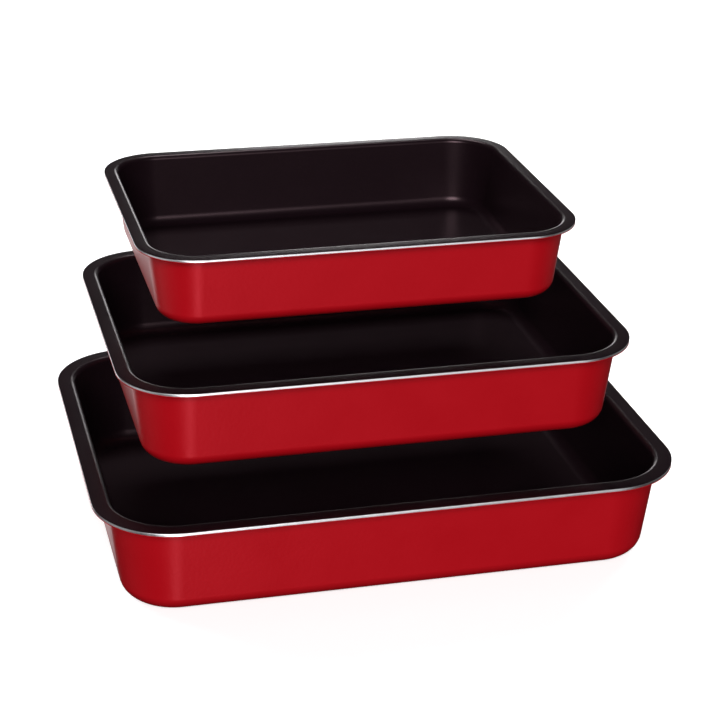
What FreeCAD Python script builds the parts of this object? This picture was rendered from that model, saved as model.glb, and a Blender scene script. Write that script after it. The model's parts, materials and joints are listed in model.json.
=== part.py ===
"""A set of three rectangular roasting trays that nest inside one another.

Each tray is one pressed aluminium sheet with a red enamel coat outside and
a black non-stick lining inside.  The layers end together at the cut edge,
where the bare metal shows as a bright line round the rim.  The set is shown
lifted apart, one tray above the next.

Millimetres, +Z up.  The origin is at the middle of the large tray's
footprint, on the surface that it stands on.
"""
import FreeCAD
import Part
import os
from math import cos, pi, radians, sin, tan

import Sketcher

Vector = FreeCAD.Vector

TRAYS = ("large", "medium", "small")

# Sizes that the three trays share: name, value, meaning.
SHARED_SIZES = (
    ("wall_draft", 7.0, "lean of every wall from upright, in degrees"),
    ("lining_thickness", 0.4, "black non-stick lining"),
    ("enamel_thickness", 0.3, "red enamel coat"),
)

# The outside of the large tray, and how much less each smaller tray
# measures than the tray that it nests in.
STEPPED_SIZES = (
    ("length", (400.0, 52.0, 55.0), "overall length over the rim"),
    ("width", (300.0, 39.0, 41.0), "overall width over the rim"),
    ("height", (69.5, 8.5, 10.0), "from the base to the top of the rim"),
)

# Sizes that each tray has for itself, in the order of TRAYS.
OWN_SIZES = (
    ("rim_corner", (54.0, 47.0, 39.5), "corner radius of the cut edge"),
    ("rim_flange", (9.0, 7.8, 6.6), "flat of the rim, from the cut edge inwards"),
    ("shoulder_radius", (4.0, 3.6, 3.2), "roll from the rim into the wall"),
    ("floor_radius", (10.0, 8.7, 7.4), "roll from the wall into the floor"),
    ("metal_thickness", (2.2, 1.9, 1.6), "aluminium sheet"),
    ("lift", (0.0, 26.0, 30.0), "air under the base, above the rim of the tray below"),
    ("sidestep", (0.0, -6.0, -11.0), "place along X, from the tray below"),
)
SHARED_NAMES = [name for name, value, meaning in SHARED_SIZES]
STEPPED_NAMES = [name for name, values, meaning in STEPPED_SIZES]

# The layers of a tray, from the face that food touches to the outside.
LINING = "lining_thickness"
METAL = "metal_thickness"
ENAMEL = "enamel_thickness"
SKIN = (LINING, METAL, ENAMEL)


def fill_sheet(doc):
    """Write the driving dimensions into the spreadsheet and name each cell."""
    rows = list(SHARED_SIZES)
    for size, values, meaning in STEPPED_SIZES:
        rows.append((f"large_{size}", values[0], meaning))
        for tray, step in zip(TRAYS[1:], values[1:]):
            rows.append((f"{tray}_{size}_step", step, f"how much less: {meaning}"))
    for size, values, meaning in OWN_SIZES:
        for tray, value in zip(TRAYS, values):
            rows.append((f"{tray}_{size}", value, meaning))
    sheet = doc.addObject("Spreadsheet::Sheet", "sizes")
    for row, (name, value, meaning) in enumerate(rows, start=1):
        sheet.set(f"A{row}", name)
        sheet.set(f"B{row}", str(value))
        sheet.set(f"C{row}", meaning)
        sheet.setAlias(f"B{row}", name)
    doc.recompute()
    return sheet


class TraySizes:
    """One tray's sizes, as numbers to draw with and as expressions to follow.

    holder is the sizes of the tray that this one nests in, if there is one.
    """

    def __init__(self, sheet, tray, holder=None):
        self.sheet = sheet
        self.tray = tray
        self.holder = holder

    def cell(self, size):
        """The expression for one size."""
        if size in SHARED_NAMES:
            return f"sizes.{size}"
        if size in STEPPED_NAMES and self.holder:
            return f"({self.holder.cell(size)} - sizes.{self.tray}_{size}_step)"
        return f"sizes.{self.tray}_{size}"

    def number(self, size):
        """The same size as a number."""
        if size in SHARED_NAMES:
            return float(self.sheet.get(size))
        if size in STEPPED_NAMES and self.holder:
            step = float(self.sheet.get(f"{self.tray}_{size}_step"))
            return self.holder.number(size) - step
        return float(self.sheet.get(f"{self.tray}_{size}"))

    def total_cells(self, names):
        """The expression for the sum of several sizes."""
        return " + ".join([self.cell(name) for name in names] or ["0"])

    def total(self, names):
        """The same sum as a number."""
        return sum(self.number(name) for name in names)

    def base_cells(self):
        """The expression for the height of this tray's base."""
        if self.holder is None:
            return self.cell("lift")
        below = self.holder
        return f"{below.base_cells()} + {below.cell('height')} + {self.cell('lift')}"

    def middle_cells(self):
        """The expression for the place of this tray's middle along X."""
        if self.holder is None:
            return self.cell("sidestep")
        return f"{self.holder.middle_cells()} + {self.cell('sidestep')}"


def origin_plane(body, role):
    """One of the body's own origin planes."""
    return next(item for item in body.Origin.OriginFeatures if item.Role == role)


def new_sketch(body, name, role):
    """An empty sketch on one of the body's origin planes."""
    sketch = body.newObject("Sketcher::SketchObject", name)
    sketch.AttachmentSupport = [(origin_plane(body, role), "")]
    sketch.MapMode = "FlatFace"
    return sketch


def constrain(sketch, *terms):
    """Add one constraint and give its number."""
    return sketch.addConstraint(Sketcher.Constraint(*terms))


def dimension(sketch, name, expression, *terms):
    """Add a dimension that follows an expression."""
    number = constrain(sketch, *terms)
    sketch.renameConstraint(number, name)
    sketch.setExpression(f"Constraints.{name}", expression)


def line(start, end):
    """A straight line between two points of a sketch."""
    return Part.LineSegment(Vector(*start, 0), Vector(*end, 0))


def arc(centre, radius, first_angle, last_angle):
    """An arc drawn anticlockwise between two angles in radians."""
    circle = Part.Circle(Vector(*centre, 0), Vector(0, 0, 1), radius)
    return Part.ArcOfCircle(circle, first_angle, last_angle)


def draw_rounded_rectangle(sketch, half_length, half_width, corner, follows):
    """A rounded rectangle about the sketch's origin.

    It runs anticlockwise from the middle of the +X side, where the wall's
    section stands.  follows holds the expressions that the three numbers obey.
    """
    x_run = half_length - corner
    y_run = half_width - corner
    sketch.addGeometry(line((half_length, 0), (half_length, y_run)))
    sketch.addGeometry(arc((x_run, y_run), corner, 0, pi / 2))
    sketch.addGeometry(line((x_run, half_width), (-x_run, half_width)))
    sketch.addGeometry(arc((-x_run, y_run), corner, pi / 2, pi))
    sketch.addGeometry(line((-half_length, y_run), (-half_length, -y_run)))
    sketch.addGeometry(arc((-x_run, -y_run), corner, pi, 1.5 * pi))
    sketch.addGeometry(line((-x_run, -half_width), (x_run, -half_width)))
    sketch.addGeometry(arc((x_run, -y_run), corner, 1.5 * pi, 2 * pi))
    sketch.addGeometry(line((half_length, -y_run), (half_length, 0)))
    last = sketch.GeometryCount - 1
    for edge in range(last):
        constrain(sketch, "Tangent", edge, 2, edge + 1, 1)
    constrain(sketch, "Coincident", last, 2, 0, 1)
    constrain(sketch, "PointOnObject", 0, 1, -1)
    constrain(sketch, "Vertical", 0)
    constrain(sketch, "Vertical", last)
    constrain(sketch, "Horizontal", 6)
    for other_corner in (3, 5, 7):
        constrain(sketch, "Equal", 1, other_corner)
    constrain(sketch, "Symmetric", 2, 1, 2, 2, -2)
    constrain(sketch, "Symmetric", 4, 1, 4, 2, -1)
    dimension(sketch, "half_length", follows[0], "DistanceX", -1, 1, 0, 1, half_length)
    dimension(sketch, "half_width", follows[1], "DistanceY", -1, 1, 2, 1, half_width)
    dimension(sketch, "corner", follows[2], "Radius", 1, corner)


def draw_section(sketch, sizes, layer, over):
    """The wall's section through one layer, from the cut edge to the floor.

    The upper face runs from the edge over the flat rim, rolls down the
    shoulder, leans in down the wall and rolls out on to the floor.  The
    lower face keeps the layer's thickness below it all the way.
    """
    draft = radians(sizes.number("wall_draft"))
    depth = sizes.total(over)
    thick = sizes.number(layer)
    skin = sizes.total(SKIN)
    edge_x = sizes.number("length") / 2
    rim_z = sizes.number("height")
    shoulder = sizes.number("shoulder_radius")
    roll = sizes.number("floor_radius")
    shoulder_centre = (edge_x - sizes.number("rim_flange"), rim_z - shoulder)
    drop = rim_z - skin - (shoulder + roll) * (1 - sin(draft))
    reach = (shoulder + roll) * cos(draft) + drop * tan(draft)
    roll_centre = (shoulder_centre[0] - reach, skin + roll)

    def on_shoulder(below):
        """Where the wall starts, on the face that far below the upper one."""
        radius = shoulder - below
        return (shoulder_centre[0] - radius * cos(draft),
                shoulder_centre[1] + radius * sin(draft))

    def on_roll(below):
        """Where the wall ends, on the same face."""
        radius = roll + below
        return (roll_centre[0] + radius * cos(draft),
                roll_centre[1] - radius * sin(draft))

    def add_face(below):
        """Rim, shoulder, wall and roll of one face, and their numbers."""
        first = sketch.GeometryCount
        z = rim_z - below
        sketch.addGeometry(line((edge_x, z), (shoulder_centre[0], z)))
        sketch.addGeometry(arc(shoulder_centre, shoulder - below, pi / 2, pi - draft))
        sketch.addGeometry(line(on_roll(below), on_shoulder(below)))
        sketch.addGeometry(arc(roll_centre, roll + below, -pi / 2, -draft))
        constrain(sketch, "Horizontal", first)
        constrain(sketch, "Tangent", first, 2, first + 1, 1)
        constrain(sketch, "Tangent", first + 1, 2, first + 2, 2)
        constrain(sketch, "Tangent", first + 2, 1, first + 3, 2)
        constrain(sketch, "Vertical", first + 3, 1, first + 3, 3)
        return first

    upper = add_face(depth)
    lower = add_face(depth + thick)
    cut_edge = sketch.addGeometry(line((edge_x, rim_z - depth), (edge_x, rim_z - depth - thick)))
    floor_z = skin - depth
    floor_end = sketch.addGeometry(
        line((roll_centre[0], floor_z), (roll_centre[0], floor_z - thick)))
    constrain(sketch, "Vertical", cut_edge)
    constrain(sketch, "Coincident", cut_edge, 1, upper, 1)
    constrain(sketch, "Coincident", cut_edge, 2, lower, 1)
    constrain(sketch, "Coincident", floor_end, 1, upper + 3, 1)
    constrain(sketch, "Coincident", floor_end, 2, lower + 3, 1)
    constrain(sketch, "Coincident", upper + 1, 3, lower + 1, 3)
    constrain(sketch, "Coincident", upper + 3, 3, lower + 3, 3)

    depth_cells = sizes.total_cells(over)
    skin_cells = sizes.total_cells(SKIN)
    dimension(sketch, "edge_x", sizes.cell("length") + " / 2",
              "DistanceX", -1, 1, upper, 1, edge_x)
    dimension(sketch, "rim_z", f"{sizes.cell('height')} - ({depth_cells})",
              "DistanceY", -1, 1, upper, 1, rim_z - depth)
    dimension(sketch, "flange", sizes.cell("rim_flange"),
              "DistanceX", upper, 2, upper, 1, sizes.number("rim_flange"))
    dimension(sketch, "shoulder", f"{sizes.cell('shoulder_radius')} - ({depth_cells})",
              "Radius", upper + 1, shoulder - depth)
    dimension(sketch, "lean", f"90 deg - {sizes.cell('wall_draft')} * 1 deg",
              "Angle", upper + 2, pi / 2 - draft)
    dimension(sketch, "roll", f"{sizes.cell('floor_radius')} + {depth_cells}",
              "Radius", upper + 3, roll + depth)
    dimension(sketch, "floor_z", f"{skin_cells} - ({depth_cells})",
              "DistanceY", -1, 1, upper + 3, 1, floor_z)
    dimension(sketch, "thickness", sizes.cell(layer),
              "DistanceY", cut_edge, 2, cut_edge, 1, thick)
    constrain(sketch, "Equal", cut_edge, floor_end)
    floor_edge = constrain(sketch, "DistanceX", -1, 1, floor_end, 1, roll_centre[0])
    sketch.renameConstraint(floor_edge, "floor_edge")
    sketch.setDriving(floor_edge, False)


def new_body(doc, sizes, name):
    """An empty body that stands where its tray is."""
    body = doc.addObject("PartDesign::Body", f"{sizes.tray}_{name}")
    body.Label = body.Name
    body.setExpression("Placement.Base.x", sizes.middle_cells())
    body.setExpression("Placement.Base.z", sizes.base_cells())
    return body


def add_wall(doc, body, sizes, layer, over):
    """Sweep one layer's section round the rim, and give the section."""
    section = new_sketch(body, f"{body.Name}_section", "XZ_Plane")
    draw_section(section, sizes, layer, over)
    rim_line = new_sketch(body, f"{body.Name}_rim_line", "XY_Plane")
    draw_rounded_rectangle(
        rim_line, sizes.number("length") / 2, sizes.number("width") / 2,
        sizes.number("rim_corner"),
        (sizes.cell("length") + " / 2", sizes.cell("width") + " / 2",
         sizes.cell("rim_corner")))
    doc.recompute()
    wall = body.newObject("PartDesign::AdditivePipe", f"{body.Name}_wall")
    wall.Profile = section
    wall.Spine = rim_line
    doc.recompute()
    return section


def add_floor(doc, body, sizes, layer, over, section):
    """Fill the floor inside one layer's wall with a flat plate."""
    floor_edge = f"{section.Name}.Constraints.floor_edge / 1 mm"
    half_length = section.getDatum("floor_edge").Value
    inset = sizes.number("length") / 2 - half_length
    inset_cells = f"({sizes.cell('length')} / 2 - {floor_edge})"
    outline = new_sketch(body, f"{body.Name}_floor_outline", "XY_Plane")
    under = [name for name in SKIN if name not in over and name != layer]
    outline.setExpression("AttachmentOffset.Base.z", sizes.total_cells(under))
    draw_rounded_rectangle(
        outline, half_length, sizes.number("width") / 2 - inset,
        sizes.number("rim_corner") - inset,
        (floor_edge, f"{sizes.cell('width')} / 2 - {inset_cells}",
         f"{sizes.cell('rim_corner')} - {inset_cells}"))
    doc.recompute()
    floor = body.newObject("PartDesign::Pad", f"{body.Name}_floor")
    floor.Profile = outline
    floor.setExpression("Length", sizes.cell(layer))
    doc.recompute()


def build_tray(doc, sizes):
    """One tray, as the layers that it is made of."""
    lining = new_body(doc, sizes, "nonstick_lining")
    section = add_wall(doc, lining, sizes, LINING, ())
    add_floor(doc, lining, sizes, LINING, (), section)

    metal = new_body(doc, sizes, "aluminium_sheet")
    section = add_wall(doc, metal, sizes, METAL, (LINING,))
    add_floor(doc, metal, sizes, METAL, (LINING,), section)

    # The enamel is in two pieces, because the tray stands on the base's.
    outside = new_body(doc, sizes, "outer_enamel")
    section = add_wall(doc, outside, sizes, ENAMEL, (LINING, METAL))
    base = new_body(doc, sizes, "base_enamel")
    add_floor(doc, base, sizes, ENAMEL, (LINING, METAL), section)
    return [lining, metal, outside, base]


def check(doc, bodies):
    """Stop if any object failed, or any layer isn't one sound solid."""
    for item in doc.Objects:
        if "Invalid" in item.State or "Error" in item.State:
            raise RuntimeError(f"{item.Name} failed: {item.State}")
        if item.TypeId == "Sketcher::SketchObject" and not item.FullyConstrained:
            raise RuntimeError(f"{item.Name} is not fully constrained")
    for body in bodies:
        shape = body.Shape
        if shape.isNull() or not shape.isValid() or len(shape.Solids) != 1:
            raise RuntimeError(f"{body.Name} is not one sound solid")


def main():
    doc = FreeCAD.newDocument("roasting_trays")
    sheet = fill_sheet(doc)
    bodies = []
    sizes = None
    for tray in TRAYS:
        sizes = TraySizes(sheet, tray, holder=sizes)
        bodies += build_tray(doc, sizes)
    doc.recompute()
    check(doc, bodies)
    os.makedirs("parts", exist_ok=True)
    for body in bodies:
        body.Shape.exportStep(f"parts/{body.Label}.step")
        box = body.Shape.BoundBox
        print(f"{body.Label}: {body.Shape.Volume:.0f} mm3, {box.XLength:.1f} x "
              f"{box.YLength:.1f} x {box.ZLength:.1f} mm, base {box.ZMin:.1f}")


main()
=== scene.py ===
# %% [markdown]
# # A nesting set of three roasting trays
#
# The object is a set of three rectangular oven trays, each one a size
# smaller than the tray that it nests in, shown lifted apart.  A tray like
# this is one sheet of aluminium, pressed to shape in a single stroke.  It
# was coated before it was pressed: red enamel on the outside, black
# non-stick on the inside.  The press then trims the rim, so the bare metal
# shows there as a bright line.
#
# The sizes, places and moving bodies come from the engineering model, which
# is loaded first and never changed.

# %% Load the engineering model
import json
from math import cos, degrees, pi, radians, sin, tan

import bmesh
import bpy
from mathutils import Matrix, Vector

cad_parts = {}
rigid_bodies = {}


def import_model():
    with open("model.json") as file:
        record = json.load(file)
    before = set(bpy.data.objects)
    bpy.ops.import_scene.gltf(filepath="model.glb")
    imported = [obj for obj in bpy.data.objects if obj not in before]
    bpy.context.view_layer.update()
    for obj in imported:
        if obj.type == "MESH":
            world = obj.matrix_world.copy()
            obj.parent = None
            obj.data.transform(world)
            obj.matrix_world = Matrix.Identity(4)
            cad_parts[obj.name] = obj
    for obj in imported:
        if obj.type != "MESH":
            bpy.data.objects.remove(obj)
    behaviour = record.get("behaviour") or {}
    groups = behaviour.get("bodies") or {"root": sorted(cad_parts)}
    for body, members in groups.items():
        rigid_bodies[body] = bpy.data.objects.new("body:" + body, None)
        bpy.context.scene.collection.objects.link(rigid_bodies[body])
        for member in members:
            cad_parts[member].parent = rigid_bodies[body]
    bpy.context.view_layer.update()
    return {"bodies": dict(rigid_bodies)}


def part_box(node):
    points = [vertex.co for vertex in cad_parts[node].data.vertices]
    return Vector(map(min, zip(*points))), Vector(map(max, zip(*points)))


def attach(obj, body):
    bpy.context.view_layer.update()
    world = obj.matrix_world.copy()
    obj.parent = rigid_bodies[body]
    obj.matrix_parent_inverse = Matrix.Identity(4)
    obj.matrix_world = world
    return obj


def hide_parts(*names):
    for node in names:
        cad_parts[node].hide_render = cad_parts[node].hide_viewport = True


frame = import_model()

bodies = list(frame["bodies"])
print("bodies:", bodies)

# %% [markdown]
# ## The sizes
#
# The outside of each tray is read from the engineering model.  What the box
# of a solid can't tell, such as how round a corner is, is written here once
# for each tray, in millimetres, and a small class turns it to metres.

# %% The sizes of each tray
MM = 0.001
WALL_DRAFT = radians(7.0)
LINING = 0.4 * MM
ENAMEL = 0.3 * MM


class Tray:
    """One tray's sizes in metres, with its base at base_z."""

    def __init__(self, name, corner, flange, shoulder, roll, metal):
        low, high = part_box(f"{name}_aluminium_sheet")
        self.name = name
        self.body = f"{name}_tray"
        self.middle = ((low[0] + high[0]) / 2, (low[1] + high[1]) / 2)
        self.length = high[0] - low[0]
        self.width = high[1] - low[1]
        self.base_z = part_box(f"{name}_base_enamel")[0][2]
        self.rim_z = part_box(f"{name}_nonstick_lining")[1][2]
        self.corner = corner * MM
        self.flange = flange * MM
        self.shoulder = shoulder * MM
        self.roll = roll * MM
        self.metal = metal * MM
        self.skin = LINING + self.metal + ENAMEL


trays = [
    Tray("large", corner=54, flange=9, shoulder=4, roll=10, metal=2.2),
    Tray("medium", corner=47, flange=7.8, shoulder=3.6, roll=8.7, metal=1.9),
    Tray("small", corner=39.5, flange=6.6, shoulder=3.2, roll=7.4, metal=1.6),
]
for tray in trays:
    print(f"{tray.name}: {tray.length / MM:.1f} x {tray.width / MM:.1f} mm, "
          f"{(tray.rim_z - tray.base_z) / MM:.1f} mm tall")

# %% [markdown]
# ## The camera
#
# The camera looks down at about 24 degrees from a little to the left.  It is
# about 1.4 metres away, with a short telephoto lens.  From there it stands
# almost in line with the left walls, so their rims nearly hide them, and the
# trays still keep close to their true proportions.  It could be aimed with a
# Track To constraint, but a rotation worked out from the viewing direction is
# fixed and easy to read.

# %% Camera
CAMERA_TURN = radians(14.53)
CAMERA_TILT = radians(23.63)
CAMERA_ROLL = radians(1.07)
CAMERA_DISTANCE = 1.444
LENS_MM = 101.0
AIM = Vector((0.0072, 0.0132, 0.1050))

looking = Vector((sin(CAMERA_TURN) * cos(CAMERA_TILT),
                  cos(CAMERA_TURN) * cos(CAMERA_TILT),
                  -sin(CAMERA_TILT)))
camera_data = bpy.data.cameras.new("camera")
camera_data.lens = LENS_MM
camera_data.sensor_width = 36.0
camera = bpy.data.objects.new("camera", camera_data)
upright = looking.to_track_quat("-Z", "Y").to_matrix().to_4x4()
camera.matrix_world = (Matrix.Translation(AIM - looking * CAMERA_DISTANCE)
                       @ upright @ Matrix.Rotation(CAMERA_ROLL, 4, "Z"))
bpy.context.scene.collection.objects.link(camera)
bpy.context.scene.camera = camera
print("camera at", [round(value, 3) for value in camera.location])

# %% [markdown]
# ## Colours and a helper for materials
#
# Paint charts and screens give colours as sRGB hex values, and a shader
# works in linear light, so one function turns the first into the second.
# A second small function adds a node with its settings and its links, which
# keeps each material below short.

# %% Colour and node helpers
def linear(hex_code, alpha=1.0):
    """An sRGB hex colour as the linear colour that a shader reads."""
    channels = [int(hex_code[i:i + 2], 16) / 255 for i in (1, 3, 5)]
    return tuple(c / 12.92 if c <= 0.04045 else ((c + 0.055) / 1.055) ** 2.4
                 for c in channels) + (alpha,)


def add(material, kind, inputs=None, **settings):
    """Add a node; an input is a value, or a (node, output) pair to link."""
    tree = material.node_tree
    node = tree.nodes.new(kind)
    for name, value in settings.items():
        setattr(node, name, value)
    for name, value in (inputs or {}).items():
        if isinstance(value, tuple) and isinstance(value[0], bpy.types.Node):
            tree.links.new(value[0].outputs[value[1]], node.inputs[name])
        else:
            node.inputs[name].default_value = value
    return node


def new_material(name):
    """An empty node material and its output node."""
    material = bpy.data.materials.new(name)
    material.use_nodes = True
    material.node_tree.nodes.clear()
    output = add(material, "ShaderNodeOutputMaterial")
    return material, output


def finish_with(material, output, shader):
    """Link a shader to the material's output."""
    material.node_tree.links.new(shader.outputs[0], output.inputs["Surface"])
    return material


print("mid grey #808080 is", round(linear("#808080")[0], 3), "in linear light")

# %% [markdown]
# ## Red enamel
#
# The outside of an oven tray is a silicone resin enamel, rolled or sprayed on
# flat sheet and baked hard.  It is a strong deep red with a satin gloss.
# Sprayed enamel is never quite flat: it dries with a faint orange peel about
# two millimetres across, and its gloss varies a little from place to place.
#
# A clear coat would make the highlights white.  The highlights on these trays
# stay pink, as they do on an enamel that has fine red flakes in it, so the
# Principled shader's specular tint is red and there is no coat.

# %% Enamel material
ENAMEL_RED = "#B10B17"
ENAMEL_DEEP = "#AA0914"
FLAKE_RED = "#FF6474"
ENAMEL_IOR = 1.45
ENAMEL_ROUGHNESS = (0.33, 0.38)
ORANGE_PEEL_MM = 2.2
PEEL_DEPTH_MM = 0.12
GLOSS_PATCH_MM = 30.0


def red_enamel():
    """Satin red silicone enamel, sprayed and baked."""
    material, output = new_material("red_silicone_enamel")
    place = add(material, "ShaderNodeTexCoord")
    patches = add(material, "ShaderNodeTexNoise",
                  {"Vector": (place, "Object"), "Scale": 1 / (GLOSS_PATCH_MM * MM),
                   "Detail": 3.0, "Roughness": 0.5})
    colour = add(material, "ShaderNodeMix",
                 {"Factor": (patches, "Fac"), "A": linear(ENAMEL_DEEP),
                  "B": linear(ENAMEL_RED)}, data_type="RGBA")
    gloss = add(material, "ShaderNodeMapRange",
                {"Value": (patches, "Fac"), "From Min": 0.3, "From Max": 0.7,
                 "To Min": ENAMEL_ROUGHNESS[0], "To Max": ENAMEL_ROUGHNESS[1]})
    peel = add(material, "ShaderNodeTexNoise",
               {"Vector": (place, "Object"), "Scale": 1 / (ORANGE_PEEL_MM * MM),
                "Detail": 1.0, "Roughness": 0.4})
    bump = add(material, "ShaderNodeBump",
               {"Height": (peel, "Fac"), "Strength": 0.5, "Distance": PEEL_DEPTH_MM * MM})
    shader = add(material, "ShaderNodeBsdfPrincipled",
                 {"Base Color": (colour, "Result"), "Roughness": (gloss, "Result"),
                  "Normal": (bump, "Normal"), "IOR": ENAMEL_IOR,
                  "Specular Tint": linear(FLAKE_RED)})
    return finish_with(material, output, shader)


enamel_material = red_enamel()
print("made", enamel_material.name, "with", len(enamel_material.node_tree.nodes), "nodes")

# %% [markdown]
# ## Black non-stick
#
# The inside is a fluoropolymer non-stick coat.  It is black with a hint of
# plum, and a little glossier than the enamel.  The coat is rolled on, which
# leaves a grain of about half a millimetre.  It is drawn at 0.7 millimetres,
# so that it just shows, as slight bumps and a sprinkle of paler specks.  The
# gloss drifts a little over a few centimetres, and the highlights are tinted
# a little, as the enamel's are.

# %% Non-stick material
NONSTICK_BLACK = "#130A0E"
NONSTICK_SPECK = "#1E1217"
NONSTICK_SHEEN = "#EAC4CE"
NONSTICK_IOR = 1.4
NONSTICK_ROUGHNESS = (0.29, 0.32)
GRAIN_MM = 0.7
GRAIN_DEPTH_MM = 0.05
GLOSS_DRIFT_MM = 40.0


def black_nonstick():
    """Satin black fluoropolymer coat, rolled on and cured."""
    material, output = new_material("black_fluoropolymer_nonstick")
    place = add(material, "ShaderNodeTexCoord")
    grain = add(material, "ShaderNodeTexNoise",
                {"Vector": (place, "Object"), "Scale": 1 / (GRAIN_MM * MM),
                 "Detail": 2.0, "Roughness": 0.6})
    drift = add(material, "ShaderNodeTexNoise",
                {"Vector": (place, "Object"), "Scale": 1 / (GLOSS_DRIFT_MM * MM),
                 "Detail": 3.0, "Roughness": 0.5})
    specks = add(material, "ShaderNodeMapRange",
                 {"Value": (grain, "Fac"), "From Min": 0.55, "From Max": 0.75,
                  "To Min": 0.0, "To Max": 1.0})
    colour = add(material, "ShaderNodeMix",
                 {"Factor": (specks, "Result"), "A": linear(NONSTICK_BLACK),
                  "B": linear(NONSTICK_SPECK)}, data_type="RGBA")
    gloss = add(material, "ShaderNodeMapRange",
                {"Value": (drift, "Fac"), "From Min": 0.3, "From Max": 0.7,
                 "To Min": NONSTICK_ROUGHNESS[0], "To Max": NONSTICK_ROUGHNESS[1]})
    bump = add(material, "ShaderNodeBump",
               {"Height": (grain, "Fac"), "Strength": 0.5, "Distance": GRAIN_DEPTH_MM * MM})
    shader = add(material, "ShaderNodeBsdfPrincipled",
                 {"Base Color": (colour, "Result"), "Roughness": (gloss, "Result"),
                  "Normal": (bump, "Normal"), "IOR": NONSTICK_IOR,
                  "Specular Tint": linear(NONSTICK_SHEEN)})
    return finish_with(material, output, shader)


nonstick_material = black_nonstick()
print("made", nonstick_material.name, "with", len(nonstick_material.node_tree.nodes), "nodes")

# %% [markdown]
# ## Bare aluminium
#
# The trim press shears the rim, and the cut leaves fine upright marks in the
# soft metal.  They catch the light as one bright satin line with slight
# breaks in it.  The marks are a fraction of a millimetre apart, so they are
# drawn a little coarser than they are, as a noise that is stretched upwards.

# %% Aluminium material
ALUMINIUM = "#E6E6EA"
ALUMINIUM_ROUGHNESS = (0.28, 0.42)
SHEAR_MARK_MM = 0.8
MARK_DEPTH_MM = 0.05
UPRIGHT_STRETCH = (1.0, 1.0, 0.15)


def cut_aluminium():
    """Pressed aluminium sheet with a sheared, slightly polished edge."""
    material, output = new_material("sheared_aluminium_sheet")
    place = add(material, "ShaderNodeTexCoord")
    stretch = add(material, "ShaderNodeMapping",
                  {"Vector": (place, "Object"), "Scale": UPRIGHT_STRETCH})
    marks = add(material, "ShaderNodeTexNoise",
                {"Vector": (stretch, "Vector"), "Scale": 1 / (SHEAR_MARK_MM * MM),
                 "Detail": 2.0, "Roughness": 0.6})
    gloss = add(material, "ShaderNodeMapRange",
                {"Value": (marks, "Fac"), "From Min": 0.3, "From Max": 0.7,
                 "To Min": ALUMINIUM_ROUGHNESS[0], "To Max": ALUMINIUM_ROUGHNESS[1]})
    bump = add(material, "ShaderNodeBump",
               {"Height": (marks, "Fac"), "Strength": 0.15, "Distance": MARK_DEPTH_MM * MM})
    shader = add(material, "ShaderNodeBsdfPrincipled",
                 {"Base Color": linear(ALUMINIUM), "Metallic": 1.0,
                  "Roughness": (gloss, "Result"), "Normal": (bump, "Normal")})
    return finish_with(material, output, shader)


aluminium_material = cut_aluminium()
print("made", aluminium_material.name, "with", len(aluminium_material.node_tree.nodes), "nodes")

# %% [markdown]
# ## Pressing a tray
#
# A tray could be a box with a hollow cut from it, but it is really one sheet,
# so it is made like one.  A flat rectangle gets round corners by a bevel of
# its four vertices.  Three insets follow.  The first rises a fraction of a
# millimetre, because the trim press leaves the outer band of the rim drooping
# a little.  The second marks the flat rim.  The third goes down as it goes
# in, which draws the leaning walls and leaves the floor.  Then the two sharp
# lines, at the shoulder and round the floor, are bevelled to the rolls that
# the press leaves.  The same steps make every layer, a little lower each
# time.
#
# First the section of a layer is worked out.  A bevel's offset is measured
# along the faces from the sharp line, so for a roll of radius r between faces
# that turn by an angle it is r tan(angle / 2).

# %% The section of a layer
RIM_BAND = 0.35                 # the share of the flat rim that droops
RIM_DROOP = radians(4.5)
TURN = pi / 2 - WALL_DRAFT      # how far the sheet turns at each sharp line
ALONG = tan(TURN / 2)           # a bevel's offset for each metre of radius


def section(tray, below):
    """The sharp section of the face that lies that far below the lining's."""
    shoulder = tray.shoulder - below
    roll = tray.roll + below
    top = tray.rim_z - below
    floor = tray.base_z + tray.skin - below
    flange = tray.flange + shoulder * ALONG
    wall = (top - floor) * tan(WALL_DRAFT)
    band = tray.flange * RIM_BAND
    return {"top": top, "band": band, "droop": band * tan(RIM_DROOP),
            "flange": flange - band, "wall": wall, "depth": top - floor,
            "shoulder": shoulder * ALONG, "roll": roll * ALONG}


print(f"the sheet turns {degrees(TURN):.0f} degrees at the shoulder and the floor")

# %% [markdown]
# The pressing itself finds its two sharp lines by their height, after the
# insets have made them.  The insets keep an even offset, so that the corners
# stay as wide as the straight sides.

# %% Press a layer
CORNER_STEPS = 24
ROLL_STEPS = 10
SAME_HEIGHT = 0.01 * MM


def bent_line(mesh, height):
    """The edges at one height where the flat sheet turns into the wall."""
    return [edge for edge in mesh.edges
            if len(edge.link_faces) == 2 and edge.calc_face_angle() > TURN / 2
            and all(abs(vertex.co.z - height) < SAME_HEIGHT for vertex in edge.verts)]


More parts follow.
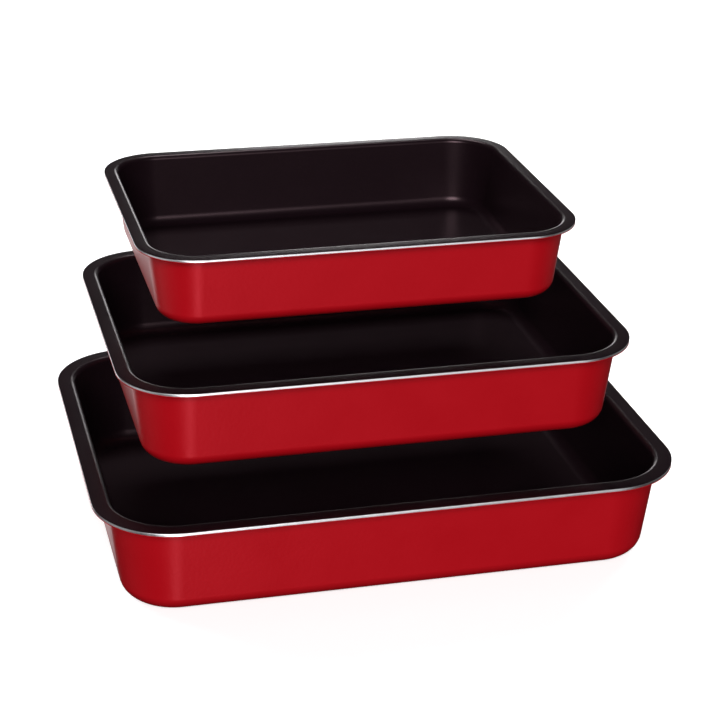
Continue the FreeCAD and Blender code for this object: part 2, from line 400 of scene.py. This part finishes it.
def pressed_face(tray, below):
    """One face of the pressed sheet, as a bmesh."""
    cut = section(tray, below)
    mesh = bmesh.new()
    size = Matrix.Diagonal((tray.length / 2, tray.width / 2, 1, 1))
    move = Matrix.Translation((*tray.middle, cut["top"] - cut["droop"]))
    bmesh.ops.create_grid(mesh, x_segments=1, y_segments=1, size=1.0, matrix=move @ size)
    bmesh.ops.bevel(mesh, geom=mesh.verts[:], offset=tray.corner, affect="VERTICES",
                    segments=CORNER_STEPS, profile=0.5, material=-1)
    sheet = mesh.faces[:]
    steps = ((cut["band"], cut["droop"]), (cut["flange"], 0.0), (cut["wall"], -cut["depth"]))
    for inwards, upwards in steps:
        bmesh.ops.inset_region(mesh, faces=sheet, thickness=inwards, depth=upwards,
                               use_even_offset=True, use_boundary=True)
    floor_z = cut["top"] - cut["depth"]
    for height, offset in ((cut["top"], cut["shoulder"]), (floor_z, cut["roll"])):
        bmesh.ops.bevel(mesh, geom=bent_line(mesh, height), offset=offset,
                        offset_type="OFFSET", affect="EDGES", segments=ROLL_STEPS,
                        profile=0.5, material=-1)
    return mesh


print("each corner has", CORNER_STEPS, "steps and each roll", ROLL_STEPS)

# %% [markdown]
# ## From a pressed face to a piece
#
# Each piece rides on its tray's body and stands for the engineering solids of
# its layer.  A Solidify gives the face its thickness downwards, a Bevel rounds
# the cut edge, and Weighted Normals keep the flat faces looking flat.

# %% Piece helpers
EDGE_STEPS = 3
EDGE_ANGLE = radians(60)


def finish_piece(name, mesh, material, body, nodes):
    """Turn a bmesh into a piece that rides on its body."""
    bmesh.ops.recalc_face_normals(mesh, faces=mesh.faces[:])
    data = bpy.data.meshes.new(name)
    mesh.to_mesh(data)
    mesh.free()
    data.materials.append(material)
    data.shade_smooth()
    piece = bpy.data.objects.new(name, data)
    bpy.context.scene.collection.objects.link(piece)
    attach(piece, body)
    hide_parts(*nodes)
    return piece


def thicken(piece, thickness, edge_round):
    """Give a face its thickness downwards, and round its cut edge."""
    solid = piece.modifiers.new("thickness", "SOLIDIFY")
    solid.thickness = thickness
    solid.offset = -1.0
    solid.use_even_offset = True
    bevel = piece.modifiers.new("edge", "BEVEL")
    bevel.width = edge_round
    bevel.segments = EDGE_STEPS
    bevel.limit_method = "ANGLE"
    bevel.angle_limit = EDGE_ANGLE
    normals = piece.modifiers.new("normals", "WEIGHTED_NORMAL")
    normals.keep_sharp = True


print("cut edges are rounded in", EDGE_STEPS, "steps")

# %% [markdown]
# ## The three layers of each tray
#
# The lining is the face that the food touches, the metal lies under it and
# the enamel is outermost.  Each is a solid of its own, so the bare edge of
# the metal is real geometry between the two coats.  The metal's edge is
# rounded the most, so that it catches the light.

# %% Make the layers
LINING_EDGE = 0.15 * MM
METAL_EDGE = 0.4 * MM
ENAMEL_EDGE = 0.1 * MM

for tray in trays:
    lining = finish_piece(f"{tray.name}_lining_coat", pressed_face(tray, 0.0),
                          nonstick_material, tray.body,
                          [f"{tray.name}_nonstick_lining"])
    thicken(lining, LINING, LINING_EDGE)
    metal = finish_piece(f"{tray.name}_pressed_sheet", pressed_face(tray, LINING),
                         aluminium_material, tray.body,
                         [f"{tray.name}_aluminium_sheet"])
    thicken(metal, tray.metal, METAL_EDGE)
    coat = finish_piece(f"{tray.name}_enamel_coat", pressed_face(tray, LINING + tray.metal),
                        enamel_material, tray.body,
                        [f"{tray.name}_outer_enamel", f"{tray.name}_base_enamel"])
    thicken(coat, ENAMEL, ENAMEL_EDGE)
    print(tray.name, [len(piece.data.polygons) for piece in (lining, metal, coat)])

# %% [markdown]
# ## The studio
#
# The trays stand on a plain white floor inside a plain white dome.  Both glow
# a little, like a light table, so that the background is an even white.  A
# floor as bright as that would wash out the walls above it, so the camera is
# the only thing that sees it.  The floor still catches a faint shadow.

# %% Floor and backdrop
PAPER_WHITE = "#F4F4F4"
TABLE_GLOW = 0.55
FLOOR_SIZE = 12.0
FLOOR_GAP = 0.2 * MM            # keeps the floor clear of the large tray's base
BACKDROP_RADIUS = 8.0


def matte(name, hex_code):
    """A plain matt finish for the stage, lit a little from beneath."""
    material, output = new_material(name)
    shader = add(material, "ShaderNodeBsdfPrincipled",
                 {"Base Color": linear(hex_code), "Roughness": 1.0, "Specular IOR Level": 0.0,
                  "Emission Color": linear(hex_code), "Emission Strength": TABLE_GLOW})
    return finish_with(material, output, shader)


def stage_piece(name, mesh, material):
    """Turn a bmesh into a piece of the stage that only the camera sees."""
    data = bpy.data.meshes.new(name)
    mesh.to_mesh(data)
    mesh.free()
    data.materials.append(material)
    data.shade_smooth()
    piece = bpy.data.objects.new(name, data)
    bpy.context.scene.collection.objects.link(piece)
    piece.visible_glossy = False
    piece.visible_diffuse = False
    piece.visible_shadow = False
    return piece


paper = matte("matt_white_paper", PAPER_WHITE)
floor_mesh = bmesh.new()
bmesh.ops.create_grid(floor_mesh, x_segments=1, y_segments=1, size=FLOOR_SIZE / 2,
                      matrix=Matrix.Translation((0, 0, -FLOOR_GAP)))
floor = stage_piece("floor", floor_mesh, paper)
backdrop_mesh = bmesh.new()
bmesh.ops.create_icosphere(backdrop_mesh, subdivisions=3, radius=BACKDROP_RADIUS)
backdrop = stage_piece("backdrop", backdrop_mesh, paper)
print("stage:", floor.name, "and", backdrop.name)

# %% [markdown]
# ## The lights
#
# A far round diffuser in front lights the whole stage evenly, and two side
# fills keep the ends of the trays from going dark.
#
# The rest of the light is there to be mirrored, because most of what the eye
# reads on a glossy tray is what it mirrors.  Each card stands where one kind
# of surface mirrors it towards the camera:
#
# - The front walls lean out at the top, so they mirror what is in front and
#   below the floor.  An upright strip there draws the soft line near the left
#   end of each wall.
# - The cut edge of the metal is upright.  The edge card draws it as a bright
#   line along the front, the corner card carries that round the left corner,
#   and the left and right cards do so along the sides.
# - The overhead box gives the back rims and their rolls a dim sheen.  The back
#   card gives the enamel its sheen where it is seen from behind.
# - The shoulder light draws the thin line where the left rims turn down.
#
# The strip, the edge card and the corner card are only mirrored: as ordinary
# light they would brighten the front walls a second time.

# %% Light helpers
def aimed(light, place, aim):
    """Stand a light at a place, turned towards a point."""
    light.location = place
    light.rotation_mode = "QUATERNION"
    light.rotation_quaternion = (Vector(aim) - Vector(place)).to_track_quat("-Z", "Y")
    light.visible_camera = False
    bpy.context.scene.collection.objects.link(light)
    return light


def softbox(name, place, aim, width, height, watts):
    """A rectangular area light that points at aim."""
    data = bpy.data.lights.new(name, "AREA")
    data.shape = "RECTANGLE"
    data.size = width
    data.size_y = height
    data.energy = watts
    return aimed(bpy.data.objects.new(name, data), place, aim)


def round_key(name, place, aim, spread, strength):
    """A far round diffuser, which lights the whole stage evenly."""
    data = bpy.data.lights.new(name, "SUN")
    data.angle = spread
    data.energy = strength
    return aimed(bpy.data.objects.new(name, data), place, aim)


print("light helpers: softbox and round_key")

# %% [markdown]
# The key, the fills and the lights above the rims are aimed at the middle of
# the trays.  The cards stand lower and face straight across the stage at
# their own height, which keeps the lines that they draw level.

# %% Lights
MIDDLE = (0, 0, 0.1)
KEY_SPREAD = radians(32)
WORLD_GLOW = 0.14

round_key("front_key", place=(-0.65, -2.6, 1.5), aim=MIDDLE, spread=KEY_SPREAD, strength=2.95)
softbox("overhead", place=(0.0, 1.7, 3.4), aim=MIDDLE, width=1.6, height=1.0, watts=60)
softbox("shoulder_light", place=(0.75, 3.0, 0.65), aim=MIDDLE, width=0.5, height=0.6, watts=5)
softbox("back_card", place=(1.3, 3.0, -0.65), aim=(1.3, 0, -0.65), width=2.6, height=2.7, watts=9)
softbox("left_card", place=(-0.9, 2.7, -1.0), aim=(-0.9, 0, -1.0), width=1.8, height=1.2, watts=10)
softbox("right_card", place=(2.6, 0.6, -0.45), aim=(0, 0.6, -0.45), width=3.6, height=0.7, watts=5)

mirrored_only = (
    softbox("front_strip", place=(-0.35, -2.3, -1.05), aim=(-0.16, -0.13, -1.05),
            width=0.42, height=2.2, watts=30),
    softbox("edge_card", place=(0.2, -2.3, -0.95), aim=(0.2, 0, -0.95),
            width=3.0, height=0.75, watts=9),
    softbox("corner_card", place=(-2.4, -0.2, -0.85), aim=(0, -0.2, -0.85),
            width=3.0, height=0.6, watts=7),
)
for light in mirrored_only:
    light.visible_diffuse = False

never_mirrored = (
    softbox("left_fill", place=(-2.0, 2.2, 1.5), aim=MIDDLE, width=1.6, height=1.2, watts=34),
    softbox("right_fill", place=(2.0, 2.2, 1.5), aim=MIDDLE, width=1.6, height=1.2, watts=34),
)
for light in never_mirrored:
    light.visible_glossy = False

world = bpy.data.worlds.new("studio")
bpy.context.scene.world = world
world.use_nodes = True
world.node_tree.nodes["Background"].inputs["Color"].default_value = (1, 1, 1, 1)
world.node_tree.nodes["Background"].inputs["Strength"].default_value = WORLD_GLOW
world.cycles_visibility.glossy = False
bpy.context.scene.view_settings.view_transform = "Standard"
print("lights:", len(bpy.data.lights))
